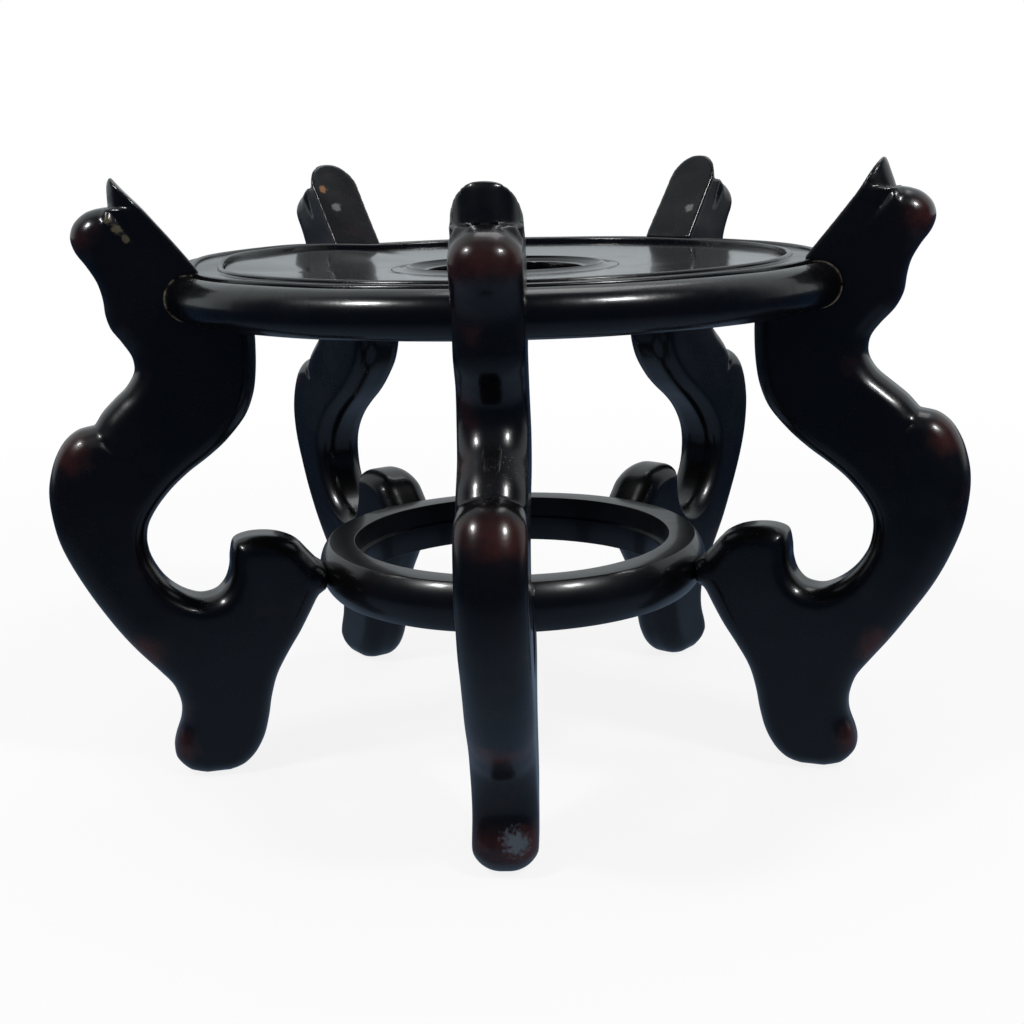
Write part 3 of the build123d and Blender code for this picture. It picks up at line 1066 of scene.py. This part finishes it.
@dataclass
class Studio:
    """Pale floor, white surround, lamps and the camera at the photograph's angle."""

    lens: float = 1542.05 / PHOTO_WIDTH * SENSOR
    eye: Place = (0.020170, -0.529036, 0.040330)
    heading: float = -0.0382774
    pitch: float = 0.234943
    roll: float = -0.0262437
    shift_x: float = (PHOTO_WIDTH / 2 - 511.2) / PHOTO_WIDTH
    near, far = 0.01, 50.0
    floor_size: float = 12.0
    white: Colour = (1.0, 1.0, 1.0)
    matt: Colour = (0.80, 0.80, 0.80)
    fill: Colour = (0.45, 0.45, 0.45)
    dusk: Colour = (0.018, 0.033, 0.065)
    table: Colour = (0.125, 0.17, 0.24)
    backdrop: Colour = (0.50, 0.54, 0.56)
    whitening: tuple[float, ...] = (0.28, 0.8, 0.86, 1.0)
    table_fade: Point = (0.2, 0.45)
    backdrop_rise: Point = (-0.05, 0.35)
    lamps: tuple[Lamp, ...] = (
        Lamp("left lamp", -57.0, 48.0, 2.0, 0.30, 15.0), Lamp("right lamp", 46.0, 46.0, 2.0, 0.30, 14.0),
        Lamp("top lamp", 165.0, 66.0, 2.2, 1.1, 8.0))

    def build(self) -> None:
        """Set everything round the stand."""
        self.floor()
        self.surround()
        for lamp in self.lamps:
            self.light(lamp)
        self.camera()
        bpy.context.scene.view_settings.view_transform = "Standard"

    def floor(self) -> None:
        """Plain pale floor that shows white and keeps the stand's shadow."""
        half, level = self.floor_size / 2, FLOOR * MM
        mesh = bpy.data.meshes.new("floor")
        mesh.from_pydata([(-half, -half, level), (half, -half, level), (half, half, level), (-half, half, level)],
                         [], [(0, 1, 2, 3)])
        plane = put_in_scene("floor", mesh)
        material = bpy.data.materials.new("Pale floor")
        wiring = Wiring.of(material)
        path = wiring.add("ShaderNodeLightPath").outputs
        matt = wiring.add("ShaderNodeBsdfDiffuse", {"Color": (*self.matt, 1.0)}).outputs[0]
        white = wiring.add("ShaderNodeEmission", {"Color": (*self.white, 1.0)}).outputs[0]
        away = wiring.vector("LENGTH", wiring.add("ShaderNodeTexCoord").outputs["Object"])
        share = wiring.times(path["Is Camera Ray"], wiring.ramp(away, *self.whitening))
        seen = wiring.add("ShaderNodeMixShader", {0: share, 1: matt, 2: white}).outputs[0]
        table = wiring.tint(wiring.ramp(away, *self.table_fade), self.table, self.dusk)
        mirrored = wiring.add("ShaderNodeEmission", {"Color": table}).outputs[0]
        seen = wiring.add("ShaderNodeMixShader", {0: path["Is Glossy Ray"], 1: seen, 2: mirrored}).outputs[0]
        wiring.add("ShaderNodeOutputMaterial", {"Surface": seen})
        mesh.materials.append(material)

    def surround(self) -> None:
        """White surround, seen as it is by the camera and as a pale backdrop in the lacquer."""
        world = bpy.context.scene.world = bpy.data.worlds.new("surround")
        wiring = Wiring.of(world)
        path = wiring.add("ShaderNodeLightPath").outputs
        toward = wiring.split(wiring.add("ShaderNodeTexCoord").outputs["Generated"])
        room = wiring.tint(wiring.ramp(toward["Y"], *self.backdrop_rise), self.dusk, self.backdrop)
        fill = wiring.tint(path["Is Glossy Ray"], self.fill, room)
        clear = wiring.math("MAXIMUM", path["Is Camera Ray"], path["Is Transmission Ray"])
        colour = wiring.tint(clear, fill, self.white)
        wiring.add("ShaderNodeOutputWorld", {0: wiring.add("ShaderNodeBackground", {"Color": colour}).outputs[0]})

    def light(self, lamp: Lamp) -> None:
        """Put up a lamp, aimed at the stand."""
        light = bpy.data.lights.new(lamp.name, "AREA")
        light.size, light.energy = lamp.width, lamp.power
        body = put_in_scene(lamp.name, light)
        bearing, rise = math.radians(lamp.azimuth), math.radians(lamp.elevation)
        place = Vector((math.sin(bearing) * math.cos(rise), -math.cos(bearing) * math.cos(rise), math.sin(rise)))
        body.location = place * lamp.distance
        body.rotation_mode = "QUATERNION"
        body.rotation_quaternion = place.to_track_quat("Z", "Y")

    def camera(self) -> None:
        """Camera at the place and angle of the photograph."""
        data = bpy.data.cameras.new("camera")
        data.lens, data.sensor_width, data.shift_x = self.lens, SENSOR, self.shift_x
        data.clip_start, data.clip_end = self.near, self.far
        camera = put_in_scene("camera", data)
        level = Vector((math.sin(self.heading), math.cos(self.heading), 0.0))
        ahead = level * math.cos(self.pitch) + Vector((0, 0, -math.sin(self.pitch)))
        side = Vector((math.cos(self.heading), -math.sin(self.heading), 0.0))
        above = side.cross(ahead)
        right = math.cos(self.roll) * side + math.sin(self.roll) * above
        upward = math.cos(self.roll) * above - math.sin(self.roll) * side
        turn = Matrix((right, upward, -ahead)).transposed()
        camera.matrix_world = Matrix.Translation(Vector(self.eye)) @ turn.to_4x4()
        bpy.context.scene.camera = camera


@dataclass(frozen=True)
class Unevenness:
    """How one leg strays from the pattern: its turn in degrees and the rest in millimetres."""

    turn: float = 0.0
    tip_out: float = 0.0
    tip_rise: float = 0.0
    outer_rise: float = 0.0
    waist_out: float = 0.0


@dataclass
class BowlStand:
    """Builds every piece of the stand and gives it its finish."""

    seed_step: float = 7.3
    warp: float = 1.9
    bay_steps: int = 72
    whole_steps: int = 256
    fine_waver: float = 0.00004
    uneven: dict = field(default_factory=lambda: {
        "front": Unevenness(tip_rise=2.4, outer_rise=-5.0), "front_right": Unevenness(tip_out=-1.7, waist_out=-2.2),
        "back_right": Unevenness(), "back_left": Unevenness(),
        "front_left": Unevenness(turn=-2.0, tip_out=1.4, outer_rise=-0.8, waist_out=1.0)})

    def __post_init__(self) -> None:
        """Make the shared effects, the finishes and the shape trees."""
        effects = {kind: kind() for kind in EffectGroup.__subclasses__()}
        leg_marks = (
            Mark((-0.1204, -0.0495, 0.0205), 0.0022, (0.13, 0.115, 0.065), 0.45),
            Mark((-0.1180, -0.0487, 0.0174), 0.0022, (0.13, 0.115, 0.065), 0.45),
            Mark((-0.1156, -0.0479, 0.0143), 0.0018, (0.13, 0.115, 0.065), 0.40),
            Mark((0.0099, -0.1165, 0.0030), 0.0050, (0.20, 0.17, 0.11), 0.5),
            Mark((-0.0749, 0.0928, 0.0244), 0.0022, (0.36, 0.17, 0.07), 0.6),
            Mark((-0.0695, 0.0901, 0.0174), 0.0026, (0.35, 0.35, 0.34), 0.35),
            Mark((0.0692, 0.0870, 0.0140), 0.0024, (0.35, 0.35, 0.34), 0.35),
            # Painted reflection, not wear: a bluish patch on the front leg's toe that stands in for the floor
            # mirrored in the lacquer.
            Mark((0.0030, -0.1190, -0.1556), 0.0055, (0.055, 0.075, 0.095), 0.8))
        finishes = (
            Lacquer("Leg lacquer", Slot.LEG, marks=leg_marks),
            Lacquer("Rim lacquer", Slot.RIM, figure_scale=80.0, roughness=0.24, ripple=0.45, rub_reach=0.2),
            Lacquer("Ring lacquer", Slot.RING, figure_scale=80.0, roughness=0.30, rub_reach=0.2),
            Lacquer("Panel lacquer", Slot.PANEL, figure=Figure.ACROSS, roughness=0.12, dulled=0.06, ripple=0.08,
                    coat_roughness=0.04, rub_reach=0.0),
            Lacquer("Collar lacquer", Slot.COLLAR, roughness=0.14, dulled=0.06, ripple=0.12, rub_reach=0.1))
        self.finish = {finish.slot: finish.build(effects) for finish in finishes}
        self.finish[Slot.BARE] = BareWood().build(effects)
        self.legs, self.mouldings = LegInPlace(), TurnedMoulding()

    def place(self, piece: bpy.types.Object, slot: Slot, *nodes: str) -> None:
        """Put a finished piece on the stand in place of its solids.

        Args:
            piece: The piece.
            slot: The finish slot it takes; not used.
            nodes: The solids that it stands for.
        """
        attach(piece, "root")
        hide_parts(*nodes)
        log.info("%s: %d faces for %s", piece.name, len(piece.data.polygons), ", ".join(nodes))

    def build_legs(self) -> None:
        """Carve one leg and stand five of it round the axis."""
        carved = CarvedLeg().mesh()
        for seed, (name, angle) in enumerate(LEG_ANGLES.items()):
            own = self.uneven[name]
            piece = self.legs.make("carved_leg_" + name, carved, angle=math.radians(angle),
                                   seed=seed * self.seed_step, turn=math.radians(own.turn),
                                   tip_out=own.tip_out * MM, tip_rise=own.tip_rise * MM,
                                   outer_rise=own.outer_rise * MM, waist_out=own.waist_out * MM,
                                   finish=self.finish[Slot.LEG])
            self.place(piece, Slot.LEG, "leg_" + name)

    def build_rings(self) -> None:
        """Sweep the rim and the low ring, one length to a bay."""
        for part, profile, slot, spine, warp in (("rim", PlatformRim().section(), Slot.RIM, 100.0, self.warp),
                                                 ("ring", LowRing().section(), Slot.RING, 58.0, 0.0)):
            section = profile.mesh(part + " section", spine)
            for name, angle in BAY_ANGLES.items():
                piece = self.mouldings.make(
                    f"turned_{part}_{name}", section, spine_radius=spine * MM, start=math.radians(angle),
                    sweep=math.tau / len(BAY_ANGLES), steps=self.bay_steps, warp=warp * MM, finish=self.finish[slot])
                self.place(piece, slot, f"{part}_{name}")

    def build_centre(self) -> None:
        """Turn the panel and its collar."""
        for part, profile, slot, spine in (("panel", Panel().section(), Slot.PANEL, 60.0),
                                           ("collar", Collar().section(), Slot.COLLAR, 32.0)):
            piece = self.mouldings.make(
                "turned_" + part, profile.mesh(part + " section", spine), spine_radius=spine * MM, whole=True,
                steps=self.whole_steps, waver=self.fine_waver, seed=3.0, warp=self.warp * MM,
                finish=self.finish[slot])
            self.place(piece, slot, part)

    def dress_joinery(self) -> None:
        """Give the hidden keys and dowels their bare wood."""
        for name in ("rim_keys", "ring_keys", "rim_dowels", "ring_dowels"):
            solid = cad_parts[name]
            solid.data.materials.clear()
            solid.data.materials.append(self.finish[Slot.BARE])
            log.info("%s: bare wood", name)


def main() -> None:
    """Build the stand and its studio."""
    stand = BowlStand()
    stand.build_legs()
    stand.build_rings()
    stand.build_centre()
    stand.dress_joinery()
    Studio().build()


if __name__ == "__main__":
    main()
